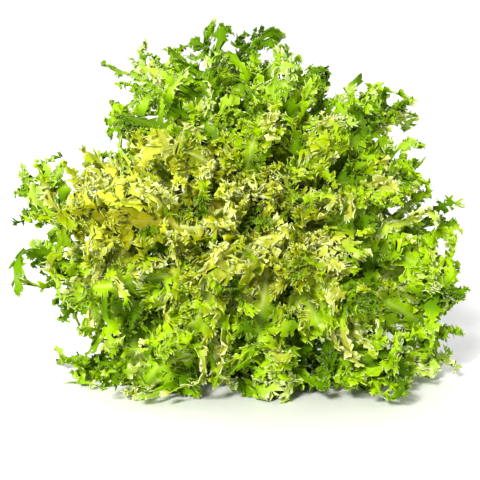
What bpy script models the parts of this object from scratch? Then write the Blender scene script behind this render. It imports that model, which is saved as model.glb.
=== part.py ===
"""A curly endive head lying on its side, with its rosette facing -Y and its cut stem behind.

Every leaf grows from a small ball-shaped crown. It has a thick rib with lobes cut to the rib along both
edges, each lobe bent, twisted and pointed or forked. The leaves stand in rings round the head's axis.
The space round the crown is shared out among them: a ring is a band of polar angles, and each leaf of
the ring has a sector of azimuths in it. A leaf's points are held inside its own share, so neighbours
never touch. The shares are then bent together, which arches the leaves outwards, sways them and
presses the lowest ones on the surface.
"""

import math
import random
from collections import namedtuple

import bmesh
import bpy
from mathutils import Vector

SEED = 29
HEAD_TILT = math.radians(5)
CROWN_HEIGHT = 0.114
CROWN_RADIUS = 0.0195
LEAF_START = 0.0202
STEM_LENGTH = 0.034
STEM_RADIUS = 0.0145
STEM_SIDES = 20
STEM_BEVEL = 0.0015
CUT_HOLLOW = 0.0008
CROWN_ARC = [math.radians(4 + 20 * step) for step in range(6)]

BLADE = 0.0009
RIB_THICKNESS = 0.0030
RIB_BASE_WIDTH = 0.0066
RIB_WING_WIDTH = 0.0100
RIB_TIP_WIDTH = 0.0050
SHARE_MARGIN = 0.0011

STATION_PACKING = 0.85
RIB_REACH = 0.9
RIB_SWING = 0.22
ROLL = math.radians(22)
LEAN_AT_BASE = math.radians(72)
LEAN_AT_TIP = math.radians(44)
LEAN_SPREAD = math.radians(12)
LOBE_TURN = (math.radians(50), math.radians(140))
LOBE_TWIST = math.radians(80)
LOBE_SPREAD = (0.8, 1.3)
LOBE_FILL = 2.3
ELBOW_BREADTH = 0.44
FORK_BREADTH = 0.74
FORK_SETBACK = 0.10
FORK_FROM = 0.35
FORK_CHANCE = 0.85

ARCH_AT_CROWN = 0.50
BACK_AT_CROWN = 0.85
BACK_STARTS = math.radians(80)
BACK_ENDS = math.radians(140)
ARCH_REACH = 0.140
SWAY = math.radians(5)
SWIRL = math.radians(9)
FLOOR_EASE = 0.020

# How far the head reaches from its axis, seen from the front: azimuth in degrees, reach in metres.
OUTER_LEAVES = (
    (92, 0.130),
    (70, 0.106),
    (52, 0.088),
    (37, 0.134),
    (16, 0.118),
    (-4, 0.138),
    (-22, 0.150),
    (-38, 0.166),
    (-58, 0.154),
    (-83, 0.150),
    (-107, 0.154),
    (-130, 0.186),
    (-152, 0.156),
    (-169, 0.162),
    (175, 0.164),
    (143, 0.106),
    (128, 0.136),
    (108, 0.106),
)

Ring = namedtuple("Ring", "name leaves low high turn length rows lobe slot")
# The bands are polar angles in degrees, measured from the axis at the leaf tips.
RINGS = (
    Ring("heart", 1, 0, 12, 0, 0.080, 7, 0.016, "leaf_heart"),
    Ring("young", 5, 12, 33, 20, 0.098, 8, 0.026, "leaf_heart"),
    Ring("inner", 8, 33, 57, 0, 0.120, 9, 0.034, "leaf_pale"),
    Ring("middle", 11, 57, 82, 10, 0.136, 10, 0.038, "leaf_pale"),
    Ring("outer", len(OUTER_LEAVES), 82, 109, 0, 0.150, 10, 0.040, "leaf_green"),
    Ring("back", 7, 109, 132, 25, 0.120, 8, 0.040, "leaf_green"),
)

Leaf = namedtuple("Leaf", "name theta phi low high left right length rows lobe slot seed")

COLOURS = {
    "leaf_heart": (0.78, 0.80, 0.34, 1.0),
    "leaf_pale": (0.52, 0.68, 0.16, 1.0),
    "leaf_green": (0.22, 0.48, 0.06, 1.0),
    "stem": (0.82, 0.80, 0.58, 1.0),
}
ROUGHNESS = 0.5


def clear_scene():
    for obj in list(bpy.data.objects):
        bpy.data.objects.remove(obj)


def make_materials():
    made = {}
    for name, colour in COLOURS.items():
        material = bpy.data.materials.new(name)
        material.use_nodes = True
        shader = material.node_tree.nodes["Principled BSDF"]
        shader.inputs["Base Color"].default_value = colour
        shader.inputs["Roughness"].default_value = ROUGHNESS
        shader.inputs["Metallic"].default_value = 0.0
        made[name] = material
    return made


def ease(x):
    """0 below 0, 1 above 1, and smooth between them."""
    x = min(1.0, max(0.0, x))
    return x * x * (3 - 2 * x)


def soft_limit(x, limit):
    """x, held smoothly within limit on either side of 0."""
    return x / (1 + abs(x / limit) ** 4) ** 0.25


def wrap(angle):
    return (angle + math.pi) % (2 * math.pi) - math.pi


def outer_share(index):
    """Azimuths from an outer leaf to the middle of the gap on either side, in radians."""
    azimuths = [math.radians(a) for a, _ in OUTER_LEAVES]
    here = azimuths[index]
    left = wrap(azimuths[index - 1] - here) / 2
    right = wrap(here - azimuths[(index + 1) % len(azimuths)]) / 2
    return abs(left), abs(right)


def reach_at(phi):
    """The outline's reach at an azimuth, blended from the outer leaves near it."""
    total = weight_sum = 0.0
    for azimuth, reach in OUTER_LEAVES:
        weight = math.exp(-((wrap(phi - math.radians(azimuth)) / math.radians(18)) ** 2))
        total += weight * reach
        weight_sum += weight
    return total / weight_sum


def plan_leaves():
    """The leaves of every ring, from the heart out."""
    plan = []
    mean_reach = sum(reach for _, reach in OUTER_LEAVES) / len(OUTER_LEAVES)
    for ring in RINGS:
        for i in range(ring.leaves):
            draw = random.Random(SEED + len(plan))
            step = 2 * math.pi / ring.leaves
            theta = math.radians(ring.low + ring.high) / 2
            if ring.name == "outer":
                phi = math.radians(OUTER_LEAVES[i][0]) - SWIRL * math.sin(2.3 * theta)
                left, right = outer_share(i)
                length = OUTER_LEAVES[i][1]
            else:
                phi = wrap(math.radians(ring.turn) + i * step)
                left = right = step / 2
                length = ring.length * draw.uniform(0.93, 1.07) * (reach_at(phi) / mean_reach) ** 0.7
            if ring.name == "heart":
                theta = 0.0
            rows = max(6, round(ring.rows * length / ring.length))
            name = f"leaf_{ring.name}" if ring.leaves == 1 else f"leaf_{ring.name}_{i + 1:02d}"
            plan.append(
                Leaf(
                    name,
                    theta,
                    phi,
                    math.radians(ring.low),
                    math.radians(ring.high),
                    left,
                    right,
                    length,
                    rows,
                    ring.lobe,
                    ring.slot,
                    draw.randrange(10**6),
                )
            )
    return plan


def bend(radius, theta, phi):
    """The growth of the whole head: a straight ray from the crown becomes an arched, swaying one."""
    grown = ease((radius - LEAF_START) / (ARCH_REACH - LEAF_START))
    behind = ease((theta - BACK_STARTS) / (BACK_ENDS - BACK_STARTS))
    crown = ARCH_AT_CROWN + (BACK_AT_CROWN - ARCH_AT_CROWN) * behind
    arched = theta * (crown + (1 - crown) * grown)
    arched += SWAY * grown * math.sin(3 * phi + 0.7) * math.sin(theta) ** 2
    turned = phi + SWIRL * grown * math.sin(2.3 * theta)
    return arched, turned


def press_down(z):
    """Heights near the surface, squeezed so that none passes through it."""
    if z >= FLOOR_EASE:
        return z
    return FLOOR_EASE * math.exp((z - FLOOR_EASE) / FLOOR_EASE)


def polar(leaf, radius, across, inward):
    """A point beside the leaf's ray as the angle from the head's axis and the azimuth round it."""
    st, ct = math.sin(leaf.theta), math.cos(leaf.theta)
    sp, cp = math.sin(leaf.phi), math.cos(leaf.phi)
    a, b = across / radius, inward / radius
    x = st * cp - a * sp - b * ct * cp
    y = st * sp + a * cp - b * ct * sp
    return math.atan2(math.hypot(x, y), ct + b * st), math.atan2(y, x)


def hold(leaf, radius, theta, phi):
    """The same angles, held inside the leaf's share."""
    spare = SHARE_MARGIN / radius
    if leaf.theta == 0:
        return soft_limit(theta, leaf.high - spare), phi
    middle = (leaf.low + leaf.high) / 2
    theta = middle + soft_limit(theta - middle, (leaf.high - leaf.low) / 2 - spare)
    away = wrap(phi - leaf.phi)
    side = leaf.left if away > 0 else leaf.right
    return theta, leaf.phi + soft_limit(away, side - spare / math.sin(theta))


def place(leaf, radius, across, inward):
    """A point of a leaf in the head's frame. across runs round the head, and inward towards its axis."""
    theta, phi = bend(radius, *hold(leaf, radius, *polar(leaf, radius, across, inward)))
    right = radius * math.sin(theta) * math.cos(phi)
    up = radius * math.sin(theta) * math.sin(phi)
    out = radius * math.cos(theta)
    tilt_s, tilt_c = math.sin(HEAD_TILT), math.cos(HEAD_TILT)
    height = CROWN_HEIGHT + up * tilt_c + out * tilt_s
    return Vector((right, up * tilt_s - out * tilt_c, press_down(height)))


def rib_width(u):
    """The rib and the blade beside it, from the crown at 0 to the tip at 1."""
    wing = RIB_BASE_WIDTH + (RIB_WING_WIDTH - RIB_BASE_WIDTH) * ease(u / 0.6)
    return wing + (RIB_TIP_WIDTH - wing) * ease((u - 0.6) / 0.4)


class Blade:
    """One leaf, as an open sheet whose vertices get their places as they are made."""

    def __init__(self, leaf):
        self.leaf = leaf
        self.draw = random.Random(leaf.seed)
        self.bm = bmesh.new()
        self.roll = self.draw.uniform(-ROLL, ROLL)
        self.wave = self.draw.uniform(0, 2 * math.pi)
        self.thick = {}

    def spine(self, radius):
        """The rib's middle, in the leaf's own radius, across and inward."""
        u = (radius - LEAF_START) / (self.leaf.length - LEAF_START)
        most = RIB_SWING * self.leaf.lobe
        swing = most * ease(u / 0.4)
        across = swing * math.sin(2.2 * math.pi * u + self.wave)
        inward = swing * math.cos(1.7 * math.pi * u + self.wave) - most * ease((u - 0.5) / 0.5)
        return Vector((radius, across, inward))

    def put(self, vertex, local):
        vertex.co = place(self.leaf, max(local.x, LEAF_START), local.y, local.z)

    def rib(self):
        """The rib as a grid of one column, its stations closer together towards the tip."""
        rows = self.leaf.rows
        made = bmesh.ops.create_grid(self.bm, x_segments=1, y_segments=rows, size=1)["verts"]
        made = sorted(made, key=lambda v: (round(v.co.y, 4), v.co.x))
        self.edges = {-1: [], 1: []}
        self.rooted = {-1: [], 1: []}
        for row in range(rows + 1):
            u = (row / rows) ** STATION_PACKING
            radius = LEAF_START + u * (self.leaf.length - LEAF_START) * RIB_REACH
            middle = self.spine(radius)
            half = rib_width(u) / 2
            for side, vertex in zip((-1, 1), made[2 * row : 2 * row + 2]):
                offset = Vector((0, math.cos(self.roll), math.sin(self.roll))) * side * half
                local = middle + offset
                self.put(vertex, local)
                self.edges[side].append(vertex)
                self.rooted[side].append(local)
                self.thick[vertex] = 1 - 0.75 * u

    def extrude(self, first, second):
        """Two new vertices joined to an edge by a quad, in the edge's order."""
        edge = self.bm.edges.get((first, second))
        new = bmesh.ops.extrude_edge_only(self.bm, edges=[edge])["geom"]
        corners = [g for g in new if isinstance(g, bmesh.types.BMVert)]
        linked = [e.other_vert(first) for e in first.link_edges]
        near = next(v for v in corners if v in linked)
        far = next(v for v in corners if v is not near)
        return near, far

    def lobe(self, roots, places, aim, length, forked):
        """A lobe from a root edge. aim holds its lean, its side of the rib, its turn and its twist."""
        lean, around, turn, twist = aim
        forward = Vector((1, 0, 0))
        middle = (places[0] + places[1]) / 2
        width = (places[1] - places[0]).length

        def heading(share):
            angle = around + turn * share
            out = Vector((0, math.cos(angle), math.sin(angle)))
            return (forward * math.cos(lean) + out * math.sin(lean)).normalized()

        def breadth(share):
            along = heading(share)
            flat = (forward - along * forward.dot(along)).normalized()
            up = along.cross(flat)
            angle = twist * share
            return flat * math.cos(angle) + up * math.sin(angle)

        elbow = middle + heading(0.35) * length / 2
        tip = elbow + heading(1) * length / 2
        near, far = self.extrude(*roots)
        self.put(near, elbow - breadth(0.5) * width * ELBOW_BREADTH)
        self.put(far, elbow + breadth(0.5) * width * ELBOW_BREADTH)
        end_near, end_far = self.extrude(near, far)
        if not forked:
            bmesh.ops.pointmerge(self.bm, verts=[end_near, end_far], merge_co=end_near.co)
            self.put(end_near if end_near.is_valid else end_far, tip)
            return
        _, notch = bmesh.utils.edge_split(self.bm.edges.get((end_near, end_far)), end_near, 0.5)
        self.put(end_near, tip - breadth(1) * width * FORK_BREADTH - heading(1) * length * FORK_SETBACK)
        self.put(end_far, tip + breadth(1) * width * FORK_BREADTH)
        self.put(notch, (elbow + tip) / 2)

    def lobes(self):
        """A lobe on each station of both sides of the rib, up and down by turns, and one at the tip."""
        leaf, draw = self.leaf, self.draw
        for row in range(2, leaf.rows):
            u = ((row + 0.5) / leaf.rows) ** STATION_PACKING
            size = (0.22 + 0.78 * ease(u / 0.65)) * (1 - 0.3 * ease((u - 0.75) / 0.25))
            for side in (-1, 1):
                up = 1 if (row + (side > 0)) % 2 else -1
                lean = LEAN_AT_BASE + (LEAN_AT_TIP - LEAN_AT_BASE) * u
                lean += draw.uniform(-LEAN_SPREAD, LEAN_SPREAD)
                around = self.roll if side > 0 else math.pi + self.roll
                turn = side * up * draw.uniform(*LOBE_TURN)
                twist = draw.uniform(-LOBE_TWIST, LOBE_TWIST)
                room = math.sin(leaf.theta) * (leaf.left if side > 0 else leaf.right) or leaf.high
                longest = LOBE_FILL * room * (LEAF_START + u * (leaf.length - LEAF_START))
                length = min(leaf.lobe * size * draw.uniform(*LOBE_SPREAD), longest)
                forked = u > FORK_FROM and draw.random() < FORK_CHANCE
                roots = self.edges[side][row : row + 2]
                places = self.rooted[side][row : row + 2]
                self.lobe(roots, places, (lean, around, turn, twist), length, forked)
        self.tip_lobe()

    def tip_lobe(self):
        """The leaf's own end, forked beyond the last station."""
        left, right = self.edges[-1][-1], self.edges[1][-1]
        here = (self.rooted[-1][-1] + self.rooted[1][-1]) / 2
        half = (self.rooted[1][-1] - self.rooted[-1][-1]) * 0.55
        ahead = Vector((1, 0, 0)) * self.leaf.length * (1 - RIB_REACH)
        curl = Vector((0, 0, -1)) * self.leaf.lobe * self.draw.uniform(-0.3, 0.4)
        near, far = self.extrude(left, right)
        self.put(near, here + (ahead + curl) / 2 - half)
        self.put(far, here + (ahead + curl) / 2 + half)
        end_near, end_far = self.extrude(near, far)
        _, notch = bmesh.utils.edge_split(self.bm.edges.get((end_near, end_far)), end_near, 0.5)
        self.put(end_near, here + ahead * 1.1 + curl - half * 1.8)
        self.put(end_far, here + ahead + curl + half * 1.8)
        self.put(notch, here + (ahead + curl) * 0.75)

    def finish(self, collection, material):
        """The sheet as an object, split into triangles and given its thickness, more along the rib."""
        self.bm.verts.index_update()
        thick = {vertex.index: weight for vertex, weight in self.thick.items()}
        bmesh.ops.recalc_face_normals(self.bm, faces=self.bm.faces)
        mesh = bpy.data.meshes.new(self.leaf.name)
        self.bm.to_mesh(mesh)
        self.bm.free()
        obj = bpy.data.objects.new(self.leaf.name, mesh)
        collection.objects.link(obj)
        mesh.materials.append(material)
        group = obj.vertex_groups.new(name="rib")
        for index, weight in thick.items():
            group.add([index], weight, "REPLACE")
        split = obj.modifiers.new("split", "TRIANGULATE")
        split.quad_method = "BEAUTY"
        solid = obj.modifiers.new("thickness", "SOLIDIFY")
        solid.thickness = RIB_THICKNESS
        solid.vertex_group = group.name
        solid.thickness_vertex_group = BLADE / RIB_THICKNESS
        solid.offset = 0
        return obj


def make_leaf(leaf, collection, material):
    blade = Blade(leaf)
    blade.rib()
    blade.lobes()
    return blade.finish(collection, material)


def make_stem(collection, material):
    """The crown and cut stem: a profile turned about the head's axis, from its front down to the cut."""
    profile = [(0, CROWN_RADIUS)]
    for angle in CROWN_ARC:
        profile.append((CROWN_RADIUS * math.sin(angle), CROWN_RADIUS * math.cos(angle)))
    profile.append((STEM_RADIUS * 1.12, -CROWN_RADIUS * 0.75))
    profile.append((STEM_RADIUS, -STEM_LENGTH + 2 * STEM_BEVEL))
    profile.append((STEM_RADIUS - STEM_BEVEL, -STEM_LENGTH))
    profile.append((0, -STEM_LENGTH + CUT_HOLLOW))
    bm = bmesh.new()
    points = [bm.verts.new((r, 0, z)) for r, z in profile]
    for first, second in zip(points, points[1:]):
        bm.edges.new((first, second))
    mesh = bpy.data.meshes.new("stem")
    bm.to_mesh(mesh)
    bm.free()
    obj = bpy.data.objects.new("stem", mesh)
    collection.objects.link(obj)
    mesh.materials.append(material)
    turn = obj.modifiers.new("turn", "SCREW")
    turn.steps = turn.render_steps = STEM_SIDES
    turn.use_merge_vertices = True
    turn.merge_threshold = 0.00005
    obj.location = (0, 0, CROWN_HEIGHT)
    obj.rotation_euler = (math.pi / 2 - HEAD_TILT, 0, 0)
    return obj


def world_points(obj):
    graph = bpy.context.evaluated_depsgraph_get()
    shown = obj.evaluated_get(graph)
    return [shown.matrix_world @ v.co for v in shown.to_mesh().vertices]


def rest_on_origin(objects):
    """Hangs everything from one empty, moved so that the head stands over the origin."""
    bpy.context.view_layer.update()
    points = [p for obj in objects for p in world_points(obj)]
    low = Vector([min(p[i] for p in points) for i in range(3)])
    high = Vector([max(p[i] for p in points) for i in range(3)])
    head = bpy.data.objects.new("head", None)
    objects[0].users_collection[0].objects.link(head)
    for obj in objects:
        obj.parent = head
    head.location = (-(low.x + high.x) / 2, -(low.y + high.y) / 2, -low.z)


def main():
    clear_scene()
    collection = bpy.data.collections.new("curly_endive_head")
    bpy.context.scene.collection.children.link(collection)
    materials = make_materials()
    objects = [make_stem(collection, materials["stem"])]
    for leaf in plan_leaves():
        objects.append(make_leaf(leaf, collection, materials[leaf.slot]))
    rest_on_origin(objects)


main()
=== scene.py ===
import math
import random
from collections import namedtuple

import bmesh
import bpy
import numpy as np
from mathutils import Matrix, Vector


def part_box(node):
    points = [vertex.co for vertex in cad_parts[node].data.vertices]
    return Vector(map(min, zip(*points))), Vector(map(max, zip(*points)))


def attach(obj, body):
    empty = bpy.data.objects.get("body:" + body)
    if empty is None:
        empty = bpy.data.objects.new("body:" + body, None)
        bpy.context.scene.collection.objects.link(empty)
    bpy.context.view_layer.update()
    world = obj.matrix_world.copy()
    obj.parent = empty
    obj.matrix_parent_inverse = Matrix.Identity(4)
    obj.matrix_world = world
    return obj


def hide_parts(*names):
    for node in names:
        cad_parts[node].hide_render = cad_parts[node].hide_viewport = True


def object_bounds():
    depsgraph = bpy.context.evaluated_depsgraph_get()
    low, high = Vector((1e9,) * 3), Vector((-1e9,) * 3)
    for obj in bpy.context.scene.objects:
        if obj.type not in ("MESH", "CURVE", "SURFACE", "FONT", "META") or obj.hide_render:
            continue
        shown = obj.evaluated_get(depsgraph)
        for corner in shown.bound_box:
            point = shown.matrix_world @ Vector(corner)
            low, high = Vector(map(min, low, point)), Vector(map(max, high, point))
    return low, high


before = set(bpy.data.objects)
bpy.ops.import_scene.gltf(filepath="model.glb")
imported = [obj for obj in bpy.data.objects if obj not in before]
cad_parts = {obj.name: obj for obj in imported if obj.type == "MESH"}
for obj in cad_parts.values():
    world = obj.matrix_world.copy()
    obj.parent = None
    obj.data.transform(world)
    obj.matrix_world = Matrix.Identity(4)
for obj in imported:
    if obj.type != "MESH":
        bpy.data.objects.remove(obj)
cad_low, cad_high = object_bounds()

# The head, as the model of its solids lays it out, in metres and radians.
SEED = 29
HEAD_TILT = math.radians(5)
CROWN_HEIGHT = 0.114
CROWN_RADIUS = 0.0195
LEAF_START = 0.0202
STEM_LENGTH = 0.034
STEM_RADIUS = 0.0145
STEM_SIDES = 20
STEM_BEVEL = 0.0015
CUT_HOLLOW = 0.0008
CROWN_ARC = [math.radians(4 + 20 * step) for step in range(6)]

RIB_BASE_WIDTH = 0.0066
RIB_WING_WIDTH = 0.0100
RIB_TIP_WIDTH = 0.0050
SHARE_MARGIN = 0.0011

STATION_PACKING = 0.85
RIB_REACH = 0.9
RIB_SWING = 0.22
ROLL = math.radians(22)
LEAN_AT_BASE = math.radians(72)
LEAN_AT_TIP = math.radians(44)
LEAN_SPREAD = math.radians(12)
LOBE_TURN = (math.radians(50), math.radians(140))
LOBE_TWIST = math.radians(80)
LOBE_SPREAD = (0.8, 1.3)
LOBE_FILL = 2.3
FORK_FROM = 0.35

ARCH_AT_CROWN = 0.50
BACK_AT_CROWN = 0.85
BACK_STARTS = math.radians(80)
BACK_ENDS = math.radians(140)
ARCH_REACH = 0.140
SWAY = math.radians(5)
SWIRL = math.radians(9)
FLOOR_EASE = 0.020

OUTER_LEAVES = (
    (92, 0.130),
    (70, 0.106),
    (52, 0.088),
    (37, 0.134),
    (16, 0.118),
    (-4, 0.138),
    (-22, 0.150),
    (-38, 0.166),
    (-58, 0.154),
    (-83, 0.150),
    (-107, 0.154),
    (-130, 0.186),
    (-152, 0.156),
    (-169, 0.162),
    (175, 0.164),
    (143, 0.106),
    (128, 0.136),
    (108, 0.106),
)

Ring = namedtuple("Ring", "name leaves low high turn length rows lobe slot")
RINGS = (
    Ring("heart", 1, 0, 12, 0, 0.080, 7, 0.016, "leaf_heart"),
    Ring("young", 5, 12, 33, 20, 0.098, 8, 0.026, "leaf_heart"),
    Ring("inner", 8, 33, 57, 0, 0.120, 9, 0.034, "leaf_pale"),
    Ring("middle", 11, 57, 82, 10, 0.136, 10, 0.038, "leaf_pale"),
    Ring("outer", len(OUTER_LEAVES), 82, 109, 0, 0.150, 10, 0.040, "leaf_green"),
    Ring("back", 7, 109, 132, 25, 0.120, 8, 0.040, "leaf_green"),
)

Leaf = namedtuple("Leaf", "name ring theta phi low high left right length rows lobe slot seed")
Lobe = namedtuple("Lobe", "root lean around turn twist length")

# The ribbons that the leaves' lobes are made of, in metres and radians.
BLADE = 0.00045
SPRIG_LENGTHS = (0.009, 0.014, 0.021, 0.031, 0.044)
SPRIGS_EACH = 4
SECTION = 0.0033
RIBBON_WIDTH = 0.0027
RIBBON_TAPER = 0.45
RIBBON_DRIFT = 0.0007
RIBBON_LIFT = 0.0009
RIBBON_DISH = 0.0004
HAND_REACH = (0.0022, 0.0042)
HAND_FOLD = (math.radians(15), math.radians(75))
HAND_LEAN = (50, 80)
HANDS_ALTERNATE = 0.8
SIDE_SPREAD = (0.85, 1.45)
END_REACH = (0.0032, 0.0058)
END_SPREAD = (1.6, 1.6)
END_LEAN = (-25, 25)
END_FOLD = (5, 50)
SPREAD_RANGE = (0.85, 1.15)
CRIMP = (0.0003, 0.0010)
RUFFLE = (0.0007, 0.0021)
SPINE = (0.0015, 0.0031)
SPINE_FAN = 1.1
GAP_SPINES = 0.6
EDGE_AT_FEET = 0.6
VEIN = 0.3
CLOSE = 1e-6

# How the lobes sit on a leaf, beyond what the solids have.
BARE_BELOW = {"heart": 0, "young": 0, "inner": 0, "middle": 0, "outer": 0.12, "back": 0.1}
SHARE_EASE = 1.25
REACH_EASE = 1.04
LEAN_MORE = math.radians(16)
SHORT_LOBES_FROM = -1
SHORT_LOBE_TURN = (math.radians(20), math.radians(130))
END_LOBE_LEANS = (0.1, 0.45, 0.6)
ELBOW_AT = 0.35
LOBE_RANGE = (0.45, 1.8)
CRUMPLE = 0.0009
CRUMPLE_LENGTH = 0.012

# The rib: a stalk with a narrow, waved and toothed wing on each side.
RIB_THICKNESS = 0.0030
RIB_CELLS = 48
RIB_COLUMNS = 8
RIB_LENGTH = 0.95
RIB_DISH = 0.0016
RIB_PALER = 0.35
WING = 0.09
WING_WAVES = 7
WING_LOBES = 11

# The clumps and hollows of the whole head, and the painted light and shade that go with them.
SWELL = 0.0035
SWELL_LENGTH = 0.038
SWELL_REACH = 0.08
TUFT = 0.40
TUFT_LENGTH = 0.034
FLOOR_FILL = 2.2
FLOOR_FILL_BELOW = 0.048
# Where the head's face has its deepest hollows, with shorter lobes and painted shade, and its palest tufts,
# with longer lobes and painted light: across and up, in millimetres.
HOLLOWS = (
    (-42, 190), (-19, 126), (82, 87), (62, 25), (12, 116), (7, 53), (-4, 80), (-50, 38),
    (-10, 167), (73, 146), (36, 45), (-68, 61), (-53, 110),
)
TUFTS = (
    (47, 60), (-68, 81), (-16, 149), (78, 47), (9, 72), (-7, 115), (60, 95), (-66, 28),
    (-45, 131), (58, 174), (34, 208), (-11, 41), (-52, 165), (-85, 146), (-40, 26),
)
HOLLOW_PUSH = -2.4
TUFT_PUSH = 1.8
SPOT_REACH = 9
FACE_FROM = 0.02
FACE_BLEND = 0.03
# Painted shade: how much the leaves are darkened at the lobes' roots and on the rib's front, and how much a
# tuft takes off or a hollow adds; below 0 it marks painted light.
SHADE_INSIDE = 0.4
SHADE_BY_TUFT = 0.5
FLOOR_CLEAR = 0.003
BOX_EASE = 0.008
BOX_SPARE = 0.004

# How green the leaves are, from 0 at the heart's palest to 1 at the outermost tips.
LEAF_AGE = {
    "heart": (0.10, 0.28),
    "young": (0.12, 0.40),
    "inner": (0.22, 0.58),
    "middle": (0.38, 0.86),
    "outer": (0.44, 0.98),
    "back": (0.42, 1.00),
}
LEAF_TINT = 0.06
LOBE_TINT = 0.13
# Painted light and shade in the age: lobe tips painted paler and roots greener, tufts that stand out paler
# and hollows greener.
LOBE_SHADING = 0.20
TUFT_SHADING = 0.16
# Painted light and shade: places where the head is painted paler than its age, or greener and darker with a
# minus: how much, where and how far round.
LIGHT_AND_SHADE_SPOTS = (
    (0.56, (-0.085, -0.060, 0.130), (0.050, 0.080, 0.050)),
    (-0.34, (0.000, 0.000, 0.250), (0.120, 0.120, 0.055)),
    (-0.30, (-0.155, 0.000, 0.125), (0.040, 0.100, 0.080)),
    (-0.20, (0.000, -0.070, 0.020), (0.060, 0.060, 0.040)),
)

STEM_STEPS = 48
STEM_ROUNDING = 2
CUT_BROWNED = 0.0035
SCAR_DEPTH = 0.0005
STEM_INSET = 0.00012
SMOOTH_ANGLE = math.radians(50)


def ease(x):
    """0 below 0, 1 above 1, and smooth between them."""
    x = np.clip(x, 0.0, 1.0)
    return x * x * (3 - 2 * x)


def soft_limit(x, limit):
    """x, held smoothly within limit on either side of 0."""
    return x / (1 + np.abs(x / limit) ** 4) ** 0.25


def squeeze(z, reach):
    """Heights below reach, squeezed so that none passes through the floor."""
    return np.where(z >= reach, z, reach * np.exp((np.minimum(z, reach) - reach) / reach))


def wrap(angle):
    """An angle brought between -pi and pi."""
    return (angle + math.pi) % (2 * math.pi) - math.pi


def outer_share(index):
    """Half the angle from an outer leaf to its neighbour on either side."""
    azimuths = [math.radians(a) for a, _ in OUTER_LEAVES]
    here = azimuths[index]
    left = wrap(azimuths[index - 1] - here) / 2
    right = wrap(here - azimuths[(index + 1) % len(azimuths)]) / 2
    return abs(left), abs(right)


def reach_at(phi):
    """How far the outer leaves reach near an azimuth."""
    total = weight_sum = 0.0
    for azimuth, reach in OUTER_LEAVES:
        weight = math.exp(-((wrap(phi - math.radians(azimuth)) / math.radians(18)) ** 2))
        total += weight * reach
        weight_sum += weight
    return total / weight_sum


def plan_leaves():
    """The leaves of every ring, as the solids have them."""
    plan = []
    mean_reach = sum(reach for _, reach in OUTER_LEAVES) / len(OUTER_LEAVES)
    for ring in RINGS:
        for i in range(ring.leaves):
            draw = random.Random(SEED + len(plan))
            step = 2 * math.pi / ring.leaves
            theta = math.radians(ring.low + ring.high) / 2
            if ring.name == "outer":
                phi = math.radians(OUTER_LEAVES[i][0]) - SWIRL * math.sin(2.3 * theta)
                left, right = outer_share(i)
                length = OUTER_LEAVES[i][1]
            else:
                phi = wrap(math.radians(ring.turn) + i * step)
                left = right = step / 2
                length = ring.length * draw.uniform(0.93, 1.07) * (reach_at(phi) / mean_reach) ** 0.7
            if ring.name == "heart":
                theta = 0.0
            rows = max(6, round(ring.rows * length / ring.length))
            name = f"leaf_{ring.name}" if ring.leaves == 1 else f"leaf_{ring.name}_{i + 1:02d}"
            band = (math.radians(ring.low), math.radians(ring.high))
            seed = draw.randrange(10**6)
            kept = (length, rows, ring.lobe, ring.slot, seed)
            plan.append(Leaf(name, ring.name, theta, phi, *band, left, right, *kept))
    return plan


def bend(radius, theta, phi):
    """The growth of the whole head: a straight ray from the crown becomes an arched, swaying one."""
    grown = ease((radius - LEAF_START) / (ARCH_REACH - LEAF_START))
    behind = ease((theta - BACK_STARTS) / (BACK_ENDS - BACK_STARTS))
    crown = ARCH_AT_CROWN + (BACK_AT_CROWN - ARCH_AT_CROWN) * behind
    arched = theta * (crown + (1 - crown) * grown)
    arched += SWAY * grown * np.sin(3 * phi + 0.7) * np.sin(theta) ** 2
    turned = phi + SWIRL * grown * np.sin(2.3 * theta)
    return arched, turned


def hold(leaf, radius, theta, phi):
    """Angles kept near the leaf's share, which frills pass a little, as real neighbours' do."""
    spare = SHARE_MARGIN / radius
    if leaf.theta == 0:
        return soft_limit(theta, leaf.high * SHARE_EASE - spare), phi
    middle = (leaf.low + leaf.high) / 2
    theta = middle + soft_limit(theta - middle, (leaf.high - leaf.low) / 2 * SHARE_EASE - spare)
    away = wrap(phi - leaf.phi)
    side = np.where(away > 0, leaf.left, leaf.right) * SHARE_EASE
    return theta, leaf.phi + soft_limit(away, side - spare / np.sin(theta))


def place(leaf, points, held=True):
    """Points of a leaf, as rows of radius, across and inward, in the head's own frame."""
    radius = np.maximum(points[:, 0], LEAF_START)
    a = points[:, 1] / radius
    b = points[:, 2] / radius
    st, ct = math.sin(leaf.theta), math.cos(leaf.theta)
    sp, cp = math.sin(leaf.phi), math.cos(leaf.phi)
    x = st * cp - a * sp - b * ct * cp
    y = st * sp + a * cp - b * ct * sp
    theta = np.arctan2(np.hypot(x, y), ct + b * st)
    phi = np.arctan2(y, x)
    if held:
        longest = leaf.length * REACH_EASE
        beyond = np.maximum(radius - 0.8 * longest, 0)
        radius = np.minimum(radius, 0.8 * longest) + soft_limit(beyond, 0.2 * longest)
        theta, phi = hold(leaf, radius, theta, phi)
    theta, phi = bend(radius, theta, phi)
    right = radius * np.sin(theta) * np.cos(phi)
    up = radius * np.sin(theta) * np.sin(phi)
    out = radius * np.cos(theta)
    tilt_s, tilt_c = math.sin(HEAD_TILT), math.cos(HEAD_TILT)
    height = CROWN_HEIGHT + up * tilt_c + out * tilt_s
    if held:
        height = squeeze(height, FLOOR_EASE)
    return np.stack([right, up * tilt_s - out * tilt_c, height], axis=1)


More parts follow.
